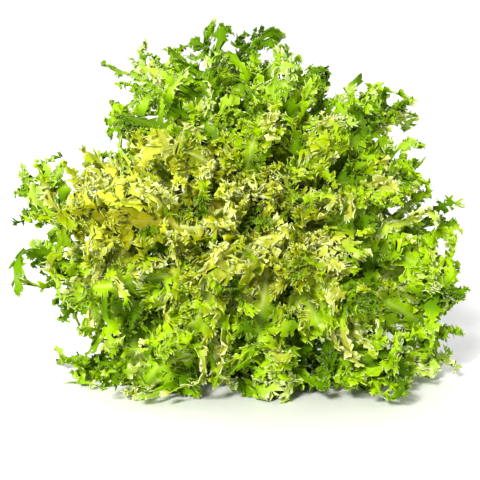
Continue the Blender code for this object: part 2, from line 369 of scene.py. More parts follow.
def clumps(points, length, seed):
    """Waves over the head's face, about -2 to 2: where it stands out and where it is hollow."""
    draw = random.Random(seed)
    crown = CROWN_SHIFT + np.array([0, 0, CROWN_HEIGHT])
    away = points - crown
    reach = np.linalg.norm(away, axis=1)
    spot = away * (0.3 + SWELL_REACH / np.maximum(reach, 0.02))[:, None]
    amount = np.zeros(len(points))
    for _ in range(7):
        way = np.array([draw.gauss(0, 1) for _ in range(3)])
        way *= 2 * math.pi / length * draw.uniform(0.75, 1.4) / np.linalg.norm(way)
        amount += np.sin(spot @ way + draw.uniform(0, 2 * math.pi))
    return amount / 2, away, reach


def in_front(points):
    """0 for points on the head's far side, 1 for those on the side that the rosette faces."""
    return ease((FACE_FROM - points[:, 1]) / FACE_BLEND)


def tufts(points):
    """How far lobes that reach these points stand out, about -2 to 2; the leaves there are painted paler
    where they stand out and darker where they are hollow.
    """
    amount = clumps(points, TUFT_LENGTH, SEED + 1)[0]
    facing = in_front(points)
    for spots, push in ((HOLLOWS, HOLLOW_PUSH), (TUFTS, TUFT_PUSH)):
        for across, up in spots:
            off = np.hypot(points[:, 0] * 1000 - across, points[:, 2] * 1000 - up) / SPOT_REACH
            amount += push * facing * np.exp(-(off**2))
    return amount


def swell(points):
    """The whole face raised and lowered in broad clumps and hollows."""
    amount, away, reach = clumps(points, SWELL_LENGTH, SEED)
    grown = ease((reach - 0.04) / 0.05)
    return points + away * (amount * SWELL * grown / np.maximum(reach, 0.001))[:, None]


def light_and_shade_at(points):
    """How much paler the leaves are painted in places, as painted light, and greener and darker in others,
    as painted shade.
    """
    paler = np.zeros(len(points))
    for amount, spot, reach in LIGHT_AND_SHADE_SPOTS:
        far = np.linalg.norm((points - np.array(spot)) / np.array(reach), axis=1)
        paler += amount * np.exp(-(far**2))
    return paler


def keep_in_box(points):
    """Points kept off the surface and within the solids' box, smoothly."""
    for i in range(3):
        low, high = cad_low[i] - BOX_SPARE, cad_high[i] + BOX_SPARE
        past = np.maximum(points[:, i] - (high - BOX_EASE), 0)
        points[:, i] += BOX_EASE * (1 - np.exp(-past / BOX_EASE)) - past
        if i < 2:
            past = np.maximum(low + BOX_EASE - points[:, i], 0)
            points[:, i] -= BOX_EASE * (1 - np.exp(-past / BOX_EASE)) - past
    points[:, 2] = squeeze(points[:, 2], FLOOR_CLEAR)
    return points


def stem_profile():
    """The crown and stem in outline: distances from the axis and along it."""
    profile = [(0, CROWN_RADIUS)]
    for angle in CROWN_ARC:
        profile.append((CROWN_RADIUS * math.sin(angle), CROWN_RADIUS * math.cos(angle)))
    profile.append((STEM_RADIUS * 1.12, -CROWN_RADIUS * 0.75))
    profile.append((STEM_RADIUS, -STEM_LENGTH + 2 * STEM_BEVEL))
    profile.append((STEM_RADIUS - STEM_BEVEL, -STEM_LENGTH))
    profile.append((0, -STEM_LENGTH + CUT_HOLLOW))
    return profile


def head_frame():
    """Where the solids' head stands in the frame: the crown's turn and place, read from the stem's box."""
    turn = Matrix.Rotation(math.pi / 2 - HEAD_TILT, 4, "X")
    points = []
    for r, z in stem_profile():
        for side in range(STEM_SIDES):
            angle = 2 * math.pi * side / STEM_SIDES
            points.append(turn @ Vector((r * math.cos(angle), r * math.sin(angle), z)))
    low = Vector([min(p[i] for p in points) for i in range(3)])
    crown = Vector(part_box("stem")[0]) - low
    return turn, crown


# Shader maths


class Wire:
    """A shader value. Sums on it add Math nodes, and node() adds any other node."""

    def __init__(self, tree, socket):
        self.tree = tree
        self.socket = socket

    def math(self, operation, *values):
        """A Math node on this value and others."""
        made = self.tree.nodes.new("ShaderNodeMath")
        made.operation = operation
        for slot, value in zip(made.inputs, (self,) + values):
            connect(self.tree, value, slot)
        return Wire(self.tree, made.outputs[0])

    def __add__(self, other):
        return self.math("ADD", other)

    __radd__ = __add__

    def __mul__(self, other):
        return self.math("MULTIPLY", other)

    __rmul__ = __mul__

    def __sub__(self, other):
        return self.math("SUBTRACT", other)

    def __rsub__(self, other):
        return (self * -1) + other

    def ramp(self, low, high):
        """0 at low, 1 at high, and smooth between them."""
        settings = {"interpolation_type": "SMOOTHSTEP"}
        sockets = {"Value": self, "From Min": low, "From Max": high}
        return node(self.tree, "ShaderNodeMapRange", settings, sockets, "Result")


def connect(tree, value, slot):
    """A socket linked to a value, or set to a number."""
    if isinstance(value, Wire):
        tree.links.new(value.socket, slot)
    else:
        slot.default_value = value


def node(tree, kind, settings, sockets, output=0):
    """Any node: its settings first, then its sockets' values or links."""
    made = tree.nodes.new(kind)
    for key, value in settings.items():
        setattr(made, key, value)
    for key, value in sockets.items():
        connect(tree, value, made.inputs[key])
    return Wire(tree, made.outputs[output]) if made.outputs else None


def blend(tree, share, first, second):
    """The first colour turning into the second as share goes from 0 to 1."""
    made = tree.nodes.new("ShaderNodeMix")
    made.data_type = "RGBA"
    connect(tree, share, made.inputs[0])
    for slot, value in ((made.inputs[6], first), (made.inputs[7], second)):
        connect(tree, value if isinstance(value, Wire) else (*value, 1.0), slot)
    return Wire(tree, made.outputs[2])


def new_material(name):
    """An empty material, and its tree."""
    material = bpy.data.materials.new(name)
    material.use_nodes = True
    tree = material.node_tree
    tree.nodes.clear()
    return material, tree


def attribute(tree, name):
    """A value that the mesh keeps at each point."""
    return node(tree, "ShaderNodeAttribute", {"attribute_name": name}, {}, "Fac")


def speckle(tree, scale, detail=2.0):
    """Noise over the piece's own coordinates, about 0.5 on average."""
    place_in = node(tree, "ShaderNodeTexCoord", {}, {}, "Object")
    return node(tree, "ShaderNodeTexNoise", {}, {"Vector": place_in, "Scale": scale, "Detail": detail}, 0)


# The leaf's colour along its age, and the painted highlights, painted light and painted shade laid over it.
LEAF_COLOURS = (
    (0.00, (0.78, 0.86, 0.050)),
    (0.14, (0.30, 0.30, 0.001)),
    (0.30, (0.30, 0.38, 0.001)),
    (0.50, (0.42, 0.65, 0.001)),
    (0.72, (0.37, 0.64, 0.001)),
    (1.00, (0.18, 0.38, 0.001)),
)
# Painted light colours: the margins' painted highlight, painted light on tips that stand out, and the
# creamy painted highlight along edges and spine tips.
MARGIN_HIGHLIGHT_COLOUR = (0.74, 0.88, 0.030)
LIT_TIP_GOLD = (0.60, 0.61, 0.09)
LIT_TIP_GREEN = (0.50, 0.70, 0.11)
EDGE_HIGHLIGHT_COLOUR = (0.90, 0.96, 0.52)
RIB_COLOUR = (0.76, 0.84, 0.24)
# Painted shade in the hollows: dark gold in pale leaves, dark green in green ones.
SHADE_GOLD = (0.27, 0.24, 0.001)
SHADE_GREEN = (0.08, 0.18, 0.001)
PALE_THROUGH = (0.56, 0.63, 0.004)
GREEN_THROUGH = (0.17, 0.34, 0.001)
PATCHES = 0.36
MOTTLING = 0.16
# How much painted light and shade: margins painted paler, margin highlight, lit tips, painted shade in
# hollows, and painted highlights along edges and on standing-out tufts.
PAINTED_MARGIN_PALER = 0.10
MARGIN_HIGHLIGHT = 0.45
LIT_TIP = 0.5
HOLLOW_SHADE = 0.85
EDGE_HIGHLIGHT = 0.5
TUFT_HIGHLIGHT = 0.62
LEAF_SHINE = 0.04
LIGHT_THROUGH = 0.33


def leaf_colour(tree, shifted, age, edge, painted_shade):
    """Cream to dark green as the leaf grows older, with pale ribs, painted highlights on its margins and on
    tips that stand out, and painted shade in its hollows.
    """
    colour = node(tree, "ShaderNodeValToRGB", {}, {"Fac": shifted}, "Color")
    ramp = colour.socket.node.color_ramp
    while len(ramp.elements) < len(LEAF_COLOURS):
        ramp.elements.new(0.5)
    for element, (place_on, tone) in zip(ramp.elements, LEAF_COLOURS):
        element.position = place_on
        element.color = (*tone, 1)
    # Where clumps stand out, with painted shade below 0: painted light on their tips and edges.
    out = (attribute(tree, "painted_shade") * -1).ramp(0.08, 0.55)
    # Painted shade colour for the hollows.
    hollow = blend(tree, age.ramp(0.15, 0.5), SHADE_GOLD, SHADE_GREEN)
    # Painted light colour for tips that stand out: pale gold to pale green.
    tip = blend(tree, age.ramp(0.3, 0.7), LIT_TIP_GOLD, LIT_TIP_GREEN)
    # Painted highlights: paler margins, and creamy highlights along edges and spine tips.
    margin = edge.ramp(0.2, 0.8) * (1 - age * 0.8) * MARGIN_HIGHLIGHT
    rim = edge.ramp(0.74, 0.98) * (1 - painted_shade * 0.6) * EDGE_HIGHLIGHT + edge.ramp(0.4, 0.9) * out * TUFT_HIGHLIGHT
    colour = blend(tree, attribute(tree, "rib") * (1 - age * 0.9), colour, RIB_COLOUR)
    # Laid over in turn: painted margin highlight, painted light on standing-out tips, painted shade in
    # hollows, painted highlight on edges.
    colour = blend(tree, margin, colour, MARGIN_HIGHLIGHT_COLOUR)
    colour = blend(tree, out * LIT_TIP, colour, tip)
    colour = blend(tree, painted_shade * HOLLOW_SHADE, colour, hollow)
    return blend(tree, rim, colour, EDGE_HIGHLIGHT_COLOUR)


def leaf_material(name):
    """Leaf: coloured by how old it is and by painted light and shade, finely crinkled, with light coming
    through it.
    """
    material, tree = new_material(name)
    # The leaf's age, with painted light and shade shifted into it.
    age = attribute(tree, "age")
    edge = attribute(tree, "edge")
    # Painted shade in the hollows, from 0 to 1.
    painted_shade = attribute(tree, "painted_shade").ramp(0, 1)
    patches = speckle(tree, 45.0)
    mottle = speckle(tree, 300.0, 3.0)
    crinkle = speckle(tree, 170.0, 1.0)
    # Place on the colour ramp: age with its painted light, random patches and mottling, and margins painted
    # paler as a painted highlight.
    shifted = age + (patches - 0.5) * PATCHES + (mottle - 0.5) * MOTTLING - edge * PAINTED_MARGIN_PALER
    height = crinkle * 2.4 + mottle * 0.9 + speckle(tree, 1000.0) * 0.2
    bumps = {"Strength": 0.5, "Distance": 0.0010, "Height": height}
    sockets = {
        "Base Color": leaf_colour(tree, shifted, age, edge, painted_shade),
        "Roughness": mottle * 0.2 + 0.38,
        "Normal": node(tree, "ShaderNodeBump", {}, bumps, "Normal"),
        "Specular IOR Level": LEAF_SHINE,
    }
    front = node(tree, "ShaderNodeBsdfPrincipled", {}, sockets, "BSDF")
    pale = node(tree, "ShaderNodeBsdfTranslucent", {}, {"Color": (*PALE_THROUGH, 1)}, "BSDF")
    green = node(tree, "ShaderNodeBsdfTranslucent", {}, {"Color": (*GREEN_THROUGH, 1)}, "BSDF")
    # Light through the leaf is greener where painted shade lies.
    greener = (shifted + painted_shade * 0.7).ramp(0.05, 1.0)
    through = node(tree, "ShaderNodeMixShader", {}, {0: greener, 1: pale, 2: green}, "Shader")
    mixed = node(tree, "ShaderNodeMixShader", {}, {0: LIGHT_THROUGH, 1: front, 2: through}, "Shader")
    node(tree, "ShaderNodeOutputMaterial", {}, {"Surface": mixed})
    return material


CROWN_PALE = (0.80, 0.80, 0.52)
CROWN_GREEN = (0.66, 0.72, 0.34)
CUT_COLOUR = (0.56, 0.42, 0.20)
FIBRE_COLOUR = (0.36, 0.22, 0.08)


def stem_material():
    """Stem: pale crown, browned and fibrous where it was cut."""
    material, tree = new_material("stem")
    cut = attribute(tree, "cut")
    fibre = speckle(tree, 420.0, 4.0)
    broad = speckle(tree, 60.0)
    colour = blend(tree, broad.ramp(0.35, 0.7), CROWN_PALE, CROWN_GREEN)
    colour = blend(tree, cut * 0.8, colour, CUT_COLOUR)
    colour = blend(tree, fibre.ramp(0.5, 0.75) * (0.15 + cut * 0.35), colour, FIBRE_COLOUR)
    bumps = {"Strength": 0.5, "Distance": 0.0008, "Height": fibre * (0.4 + cut * 1.2)}
    bump = node(tree, "ShaderNodeBump", {}, bumps, "Normal")
    sockets = {"Base Color": colour, "Roughness": fibre * 0.3 + 0.4, "Normal": bump}
    front = node(tree, "ShaderNodeBsdfPrincipled", {}, sockets, "BSDF")
    node(tree, "ShaderNodeOutputMaterial", {}, {"Surface": front})
    return material


# The frilled ribbons


class Sprig:
    """A frilled ribbon along X, modelled once and bent along many lobes: a strip with spiny hands."""

    def __init__(self, length, seed):
        self.length = length
        self.draw = random.Random(seed)
        self.sections = max(3, round(length / SECTION))
        self.columns = []
        select_none()
        bpy.ops.mesh.primitive_grid_add(x_subdivisions=self.sections, y_subdivisions=2, size=1)
        self.obj = bpy.context.active_object
        bpy.ops.object.mode_set(mode="EDIT")
        bpy.ops.mesh.select_mode(type="VERT")
        bpy.ops.transform.resize(value=(length, RIBBON_WIDTH, 1), center_override=(0, 0, 0))
        bpy.ops.transform.translate(value=(length / 2, 0, 0))
        self.sway()
        self.frill()
        self.fork()
        bpy.ops.object.mode_set(mode="OBJECT")
        mesh = self.obj.data
        self.points = np.array([v.co[:] for v in mesh.vertices])
        self.faces = [list(p.vertices) for p in mesh.polygons]
        self.edge = self.rim_share()
        middles = {tuple(round(c, 6) for c in p) for p in self.columns[1::3]}
        rounded = [tuple(round(c, 6) for c in p) for p in self.points.tolist()]
        self.vein = np.array([VEIN * (p in middles) for p in rounded])
        bpy.data.objects.remove(self.obj)
        bpy.data.meshes.remove(mesh)

    def rim_share(self):
        """1 at the spines' tips, over half at their feet, and less towards the strip's middle."""
        touching = [[] for _ in self.points]
        for face in self.faces:
            for i in face:
                touching[i].append(face)
        tips = {i for i, faces in enumerate(touching) if len(faces) == 1 and len(faces[0]) == 3}
        share = EDGE_AT_FEET * ease((np.hypot(self.points[:, 1], self.points[:, 2]) - 0.001) / 0.005)
        for tip in tips:
            for i in touching[tip][0]:
                share[i] = max(share[i], EDGE_AT_FEET)
        share[sorted(tips)] = 1
        return share

    def chosen(self):
        """Where the selected vertices are, in order along X."""
        bm = bmesh.from_edit_mesh(self.obj.data)
        return sorted((v.co.copy() for v in bm.verts if v.select), key=lambda p: p.x)

    def only(self, *places):
        """Selects just the vertices at the places, and the edges between them."""
        bpy.ops.mesh.select_all(action="DESELECT")
        bm = bmesh.from_edit_mesh(self.obj.data)
        found = {v for v in bm.verts if any((v.co - p).length < CLOSE for p in places)}
        for vertex in found:
            vertex.select = True
            for edge in vertex.link_edges:
                if edge.other_vert(vertex) in found:
                    edge.select = True
        bmesh.update_edit_mesh(self.obj.data)

    def column(self, k):
        """The strip's vertices at one of its sections, from right to left of X."""
        return self.columns[3 * k : 3 * k + 3]

    def sway(self):
        """The strip's columns moved a little out of line, narrower towards the end."""
        draw = self.draw
        bm = bmesh.from_edit_mesh(self.obj.data)
        places = sorted((v.co.copy() for v in bm.verts), key=lambda p: (round(p.x / 0.0001), p.y))
        drift = lift = 0
        for k in range(self.sections + 1):
            column = places[3 * k : 3 * k + 3]
            share = k / self.sections
            if k:
                drift = drift * 0.7 + draw.uniform(-RIBBON_DRIFT, RIBBON_DRIFT)
                lift = lift * 0.7 + draw.uniform(-RIBBON_LIFT, RIBBON_LIFT)
            self.only(*column)
            width = (1.15 - RIBBON_TAPER * share) * draw.uniform(*SPREAD_RANGE)
            bpy.ops.transform.resize(value=(1, width, 1), center_override=column[1])
            bpy.ops.transform.translate(value=(0, drift, lift))
            self.only(*[p for p in self.chosen() if abs(p.y - drift) < CLOSE])
            bpy.ops.transform.translate(value=(0, 0, -RIBBON_DISH))
            bm = bmesh.from_edit_mesh(self.obj.data)
            near = [v.co.copy() for v in bm.verts if abs(v.co.x - column[1].x) < 1e-5]
            self.columns += sorted(near, key=lambda p: p.y)

    def drawn_out(self, move, width):
        """The selected edges extruded by a move and spread about their middle."""
        bpy.ops.mesh.extrude_edges_move(TRANSFORM_OT_translate={"value": move})
        ends = self.chosen()
        middle = sum(ends, Vector()) / len(ends)
        bpy.ops.transform.resize(value=(width, width, width), center_override=middle)

    def spine(self, a, b, move):
        """A pointed tooth on the edge between two places."""
        self.only(a, b)
        bpy.ops.mesh.extrude_edges_move(TRANSFORM_OT_translate={"value": move})
        bpy.ops.mesh.merge(type="CENTER")

    def hand(self, places, out, fold, size, spread, cuts):
        """A ruffled, spiny lobe on a run of margin edges, fanning and folding out of the strip's plane."""
        draw = self.draw
        up = Vector((0, 0, 1))

        def way(share):
            return out * math.cos(fold * share) + up * math.sin(fold * share)

        start = places[0]
        normal = up * math.cos(fold) - out * math.sin(fold)
        self.only(*places)
        self.drawn_out(way(0.5) * size * 0.5, spread[0] * draw.uniform(*SPREAD_RANGE))
        row = sorted(self.chosen(), key=lambda p: (p - start).dot(places[-1] - start))
        turn = draw.choice((-1, 1))
        for i, place_at in enumerate(row):
            self.only(place_at)
            bpy.ops.transform.translate(value=normal * draw.uniform(*CRIMP) * (turn if i % 2 else -turn))
            row[i] = self.chosen()[0]
        self.only(*row)
        self.drawn_out(way(1.0) * size * 0.45, spread[1] * draw.uniform(*SPREAD_RANGE))
        bpy.ops.mesh.subdivide(number_cuts=cuts)
        rim = sorted(self.chosen(), key=lambda p: (p - start).dot(places[-1] - start))
        middle = sum(rim, Vector()) / len(rim)
        along = (rim[-1] - rim[0]).normalized()
        half = (rim[-1] - rim[0]).length / 2
        for i, place_at in enumerate(rim):
            share = (place_at - middle).dot(along) / half
            shift = -way(1) * share**2 * half * 0.5
            shift += normal * draw.uniform(*RUFFLE) * (1 if i % 2 else -1)
            self.only(place_at)
            bpy.ops.transform.translate(value=shift)
            rim[i] = self.chosen()[0]
        for i, (a, b) in enumerate(zip(rim, rim[1:])):
            lean = SPINE_FAN * (2 * (i + 0.5) / (len(rim) - 1) - 1)
            tip = way(1.15) + along * (lean + draw.uniform(-0.4, 0.4)) + normal * draw.uniform(-0.7, 0.7)
            tip.normalize()
            self.spine(a, b, tip * draw.uniform(*SPINE))

    def frill(self):
        """Hands down both margins with gaps between them, folded up and down in turn."""
        draw = self.draw
        for side in (1, -1):
            turn = draw.choice((-1, 1))
            k = draw.choice((0, 1))
            while k < self.sections:
                run = min(draw.choice((1, 2, 2)), self.sections - k)
                places = [self.column(k + step)[1 + side] for step in range(run + 1)]
                share = (k + run / 2) / self.sections
                size = 0.55 + 0.45 * math.sin(math.pi * min(1, 0.15 + share * 0.8))
                lean = math.radians(draw.uniform(*HAND_LEAN))
                out = Vector((math.cos(lean), side * math.sin(lean), 0))
                fold = turn * draw.uniform(*HAND_FOLD)
                self.hand(places, out, fold, draw.uniform(*HAND_REACH) * size, SIDE_SPREAD, 1)
                turn = -turn if draw.random() < HANDS_ALTERNATE else turn
                k += run
                if k < self.sections:
                    a, b = (self.column(k + step)[1 + side] for step in (0, 1))
                    if draw.random() < GAP_SPINES:
                        self.spine(a, b, out * draw.uniform(*SPINE) * 0.8)
                    k += 1

    def fork(self):
        """A hand on the strip's end."""
        draw = self.draw
        places = self.column(self.sections)
        lean = math.radians(draw.uniform(*END_LEAN))
        fold = draw.choice((-1, 1)) * math.radians(draw.uniform(*END_FOLD))
        out = Vector((math.cos(lean), math.sin(lean), 0))
        self.hand(places, out, fold, draw.uniform(*END_REACH), END_SPREAD, 2)


def make_sprigs():
    """A few frilled ribbons of each length."""
    made = []
    for i, length in enumerate(SPRIG_LENGTHS):
        made.append([Sprig(length, 100 * i + k) for k in range(SPRIGS_EACH)])
    return made


# The leaves


def rib_width(u):
    """How wide the solid's rib is, from its foot at 0 to its tip at 1."""
    wing = RIB_BASE_WIDTH + (RIB_WING_WIDTH - RIB_BASE_WIDTH) * ease(u / 0.6)
    return wing + (RIB_TIP_WIDTH - wing) * ease((u - 0.6) / 0.4)


def unit(rows):
    """Rows scaled to a length of 1."""
    return rows / np.linalg.norm(rows, axis=1)[:, None]


class FineLeaf:
    """One leaf: a rib, and a frilled ribbon for each lobe of its solid and between them."""

    def __init__(self, leaf, sprigs):
        self.leaf = leaf
        self.sprigs = sprigs
        self.draw = random.Random(leaf.seed)
        self.roll = self.draw.uniform(-ROLL, ROLL)
        self.wave = self.draw.uniform(0, 2 * math.pi)
        self.extra = random.Random(leaf.seed + 1)
        self.points, self.faces, self.edge, self.age, self.vein, self.painted_shade = [], [], [], [], [], []
        self.count = 0

    def spine(self, radius):
        """The rib's middle, in the leaf's own radius, across and inward."""
        leaf = self.leaf
        u = (radius - LEAF_START) / (leaf.length - LEAF_START)
        most = RIB_SWING * leaf.lobe
        swing = most * ease(u / 0.4)
        across = swing * np.sin(2.2 * math.pi * u + self.wave)
        inward = swing * np.cos(1.7 * math.pi * u + self.wave) - most * ease((u - 0.5) / 0.5)
        return np.stack([radius + 0 * u, across, inward], axis=-1)

    def station(self, row):
        """The rib's two edges at a station, which may lie between two whole ones."""
        u = (row / self.leaf.rows) ** STATION_PACKING
        radius = LEAF_START + u * (self.leaf.length - LEAF_START) * RIB_REACH
        middle = self.spine(np.float64(radius))
        half = rib_width(u) / 2
        offset = np.array([0, math.cos(self.roll), math.sin(self.roll)])
        return {side: middle + offset * side * half for side in (-1, 0, 1)}

    def lobes(self):
        """The lobes of the solid, drawn in its order."""
        leaf, draw = self.leaf, self.draw
        made = []
        for row in range(2, leaf.rows):
            u = ((row + 0.5) / leaf.rows) ** STATION_PACKING
            size = (0.22 + 0.78 * ease(u / 0.65)) * (1 - 0.3 * ease((u - 0.75) / 0.25))
            for side in (-1, 1):
                up = 1 if (row + (side > 0)) % 2 else -1
                lean = LEAN_AT_BASE + (LEAN_AT_TIP - LEAN_AT_BASE) * u
                lean += draw.uniform(-LEAN_SPREAD, LEAN_SPREAD) + LEAN_MORE * u
                around = self.roll if side > 0 else math.pi + self.roll
                turn = side * up * draw.uniform(*LOBE_TURN)
                twist = draw.uniform(-LOBE_TWIST, LOBE_TWIST)
                room = math.sin(leaf.theta) * (leaf.left if side > 0 else leaf.right) or leaf.high
                longest = LOBE_FILL * room * (LEAF_START + u * (leaf.length - LEAF_START))
                length = min(leaf.lobe * size * draw.uniform(*LOBE_SPREAD), longest)
                if u > FORK_FROM:
                    # The solid draws here whether its lobe forks, and the order of draws is kept.
                    draw.random()
                root = (self.station(row)[side] + self.station(row + 1)[side]) / 2
                made.append(Lobe(root, lean, around, turn, twist, length))
        return made

    def between(self):
        """Shorter lobes between those of the solid, over the rib's face and down by the crown."""
        leaf, draw = self.leaf, self.extra
        made = []
        for step in range(2, 2 * leaf.rows):
            row = step / 2
            u = (row / leaf.rows) ** STATION_PACKING
            if u < BARE_BELOW[leaf.ring]:
                continue
            for side in (-1, 1):
                lean = LEAN_AT_BASE + draw.uniform(-0.5, 0.5)
                around = (self.roll if side > 0 else math.pi + self.roll) + side * draw.uniform(-0.4, 1.2)
                turn = side * draw.choice((-1, 1)) * draw.uniform(*SHORT_LOBE_TURN)
                length = leaf.lobe * (0.20 + 0.26 * ease(u / 0.5)) * draw.uniform(0.6, 1.3)
                root = self.station(row)[side]
                made.append(Lobe(root, lean, around, turn, draw.uniform(-1.6, 1.6), length))
        return made

    def ends(self):
        """The lobes that finish the rib."""
        leaf, draw = self.leaf, self.extra
        root = self.station(leaf.rows)[0]
        made = []
        for lean in END_LOBE_LEANS:
            around = draw.uniform(0, 2 * math.pi)
            length = leaf.lobe * draw.uniform(0.4, 0.65)
            made.append(Lobe(root, lean, around, draw.uniform(-2, 2), draw.uniform(-1, 1), length))
        return made

    def frill(self, lobe, filler):
        """A ribbon bent along a lobe's curl and twisted, at its real width in the head."""
        leaf, draw = self.leaf, self.extra
        off = [abs(math.log(length / lobe.length)) for length in SPRIG_LENGTHS]
        kind = off.index(min(off))
        sprig = draw.choice(self.sprigs[kind])
        share = sprig.points[:, 0] / sprig.length

        def heading(s):
            angle = lobe.around + lobe.turn * s
            lean_s, lean_c = math.sin(lobe.lean), math.cos(lobe.lean)
            return np.stack([lean_c + 0 * s, lean_s * np.cos(angle), lean_s * np.sin(angle)], axis=-1)

        def reach_to(length):
            elbow = lobe.root + heading(np.float64(ELBOW_AT)) * length / 2
            return elbow, elbow + heading(np.float64(1)) * length / 2

        goal = place(leaf, reach_to(lobe.length)[1][None, :]) + CROWN_SHIFT
        tuft = float(tufts(goal)[0]) + FLOOR_FILL * ease((FLOOR_FILL_BELOW - goal[0, 2]) / FLOOR_FILL_BELOW)
        if filler and tuft < SHORT_LOBES_FROM and leaf.ring not in ("outer", "back"):
            return
        shortest, longest = LOBE_RANGE
        elbow, tip = reach_to(lobe.length * min(longest, max(shortest, 1 + TUFT * tuft)))

        def middle(s):
            s = s[:, None]
            return lobe.root * (1 - s) * (1 - 2 * s) + elbow * 4 * s * (1 - s) + tip * s * (2 * s - 1)

        ahead = heading(share)
        flat = unit(np.array([1.0, 0, 0]) - ahead * ahead[:, :1])
        over = np.cross(ahead, flat)
        twist = (lobe.twist * share)[:, None]
        breadth = flat * np.cos(twist) + over * np.sin(twist)
        centre = middle(share)
        step = 0.001
        world = place(leaf, centre)
        along = unit(place(leaf, middle(share + 0.04)) - place(leaf, middle(share - 0.04)))
        across = place(leaf, centre + breadth * step, False) - place(leaf, centre - breadth * step, False)
        across = unit(across - along * np.sum(across * along, axis=1)[:, None])
        normal = np.cross(along, across)
        y = sprig.points[:, 1] * draw.uniform(0.85, 1.2) * draw.choice((-1, 1))
        z = sprig.points[:, 2] * draw.uniform(0.85, 1.15) * draw.choice((-1, 1))
        self.points.append(world + across * y[:, None] + normal * z[:, None])
        self.faces += [[i + self.count for i in f] for f in sprig.faces]
        self.edge.append(sprig.edge)
        self.vein.append(sprig.vein)
        # Painted light and shade: lobe tips and standing-out tufts painted paler, roots and hollows
        # greener, and painted shade at the roots and in hollows.
        clump = tufts(world + CROWN_SHIFT)
        paler = LOBE_SHADING * (0.5 - ease(share / 0.9)) - TUFT_SHADING * clump
        self.age.append(self.age_at(centre[:, 0]) + paler + draw.uniform(-LOBE_TINT, LOBE_TINT))
        self.painted_shade.append(np.clip(SHADE_INSIDE - SHADE_INSIDE * share - SHADE_BY_TUFT * clump, -1, 1))
        self.count += len(world)

    def age_at(self, radius):
        """How green the leaf is out along it: 0 at the heart's palest, 1 at the outermost tips."""
        u = np.clip((radius - LEAF_START) / (self.leaf.length - LEAF_START), 0, 1)
        first, last = LEAF_AGE[self.leaf.ring]
        tint = random.Random(self.leaf.seed + 2).uniform(-LEAF_TINT, LEAF_TINT)
        return first + (last - first) * u**1.3 + tint

    def crumple(self, points):
        """Small random folds, nearly the same for neighbouring points."""
        draw = self.extra
        moved = np.zeros_like(points)
        for _ in range(5):
            way = np.array([draw.gauss(0, 1) for _ in range(3)])
            way *= 2 * math.pi / CRUMPLE_LENGTH * draw.uniform(0.7, 1.6) / np.linalg.norm(way)
            push = np.array([draw.gauss(0, 1) for _ in range(3)])
            moved += np.sin(points @ way + draw.uniform(0, 2 * math.pi))[:, None] * push
        return points + moved * CRUMPLE / 2

    def rib(self, name):
        """The rib: a grid laid along its curve, thick down the middle and thin at its wings."""
        leaf = self.leaf
        select_none()
        bpy.ops.mesh.primitive_grid_add(x_subdivisions=RIB_CELLS, y_subdivisions=RIB_COLUMNS, size=2)
        obj = bpy.context.active_object
        obj.name = obj.data.name = name
        flat = np.array([v.co[:] for v in obj.data.vertices])
        u = (flat[:, 0] + 1) / 2
        side = np.sign(flat[:, 1]) * np.abs(flat[:, 1]) ** 1.5
        centre = self.spine(LEAF_START + u * (leaf.length - LEAF_START) * RIB_LENGTH)
        across = np.array([0, math.cos(self.roll), math.sin(self.roll)])
        inward = np.array([0, -math.sin(self.roll), math.cos(self.roll)])
        stalk = rib_width(u) * (0.34 + 0.20 * (1 - u) ** 2) * (1 - 0.7 * ease((u - 0.8) / 0.2))
        wing = WING * leaf.lobe * ease((u - 0.12) / 0.35) * (1 - 0.8 * ease((u - 0.75) / 0.25))
        tooth = np.where(np.round(u * RIB_CELLS) % 2 > 0, 1, -1) * ease((np.abs(side) - 0.7) / 0.3)
        lobed = np.sin(side * 2 + 2 * math.pi * WING_LOBES * u + self.wave)
        half = stalk + wing * (1 + 0.3 * lobed + 0.8 * tooth)
        waves = np.sin(2 * math.pi * WING_WAVES * u + self.wave + 2 * (side > 0))
        dish = side**2 * (RIB_DISH + wing * (0.7 * waves + 0.4 * tooth))
        points = centre + across * (side * half)[:, None] + inward * dish[:, None]
        world = place(leaf, points)
        obj.data.vertices.foreach_set("co", keep_in_box(swell(world + CROWN_SHIFT)).ravel())
        middle = 1 - ease(np.abs(side) * half / (stalk * 0.85))
        group = obj.vertex_groups.new(name="thick")
        thick = BLADE / RIB_THICKNESS + (1 - BLADE / RIB_THICKNESS) * middle * (1 - 0.75 * u)
        for i, weight in enumerate(thick):
            group.add([i], float(weight), "REPLACE")
        # Painted light and shade: the age shifted by the painted spots, and painted shade on the rib's
        # front where frills lie over it, less on tufts that stand out.
        age = self.age_at(points[:, 0]) - RIB_PALER * (1 - ease(u / 0.6)) - light_and_shade_at(world)
        hollow = SHADE_INSIDE * in_front(world) - SHADE_BY_TUFT * tufts(world + CROWN_SHIFT)
        painted_shade = np.clip(hollow, 0, 1) * ease(u / 0.4)
        self.describe(obj.data, ease((np.abs(side) - 0.6) / 0.3), age, middle, painted_shade)
        solid = obj.modifiers.new("thickness", "SOLIDIFY")
        solid.thickness = RIB_THICKNESS
        solid.offset = 0
        solid.vertex_group = group.name
        bpy.ops.object.modifier_apply(modifier=solid.name)
        return obj

    def frills(self, name):
        """The leaf's ribbons as one sheet, given its thickness."""
        for filler, lobes in ((False, self.lobes()), (True, self.between()), (False, self.ends())):
            for lobe in lobes:
                self.frill(lobe, filler)
        mesh = bpy.data.meshes.new(name)
        world = self.crumple(np.concatenate(self.points)) + CROWN_SHIFT
        mesh.from_pydata(keep_in_box(swell(world)).tolist(), [], self.faces)
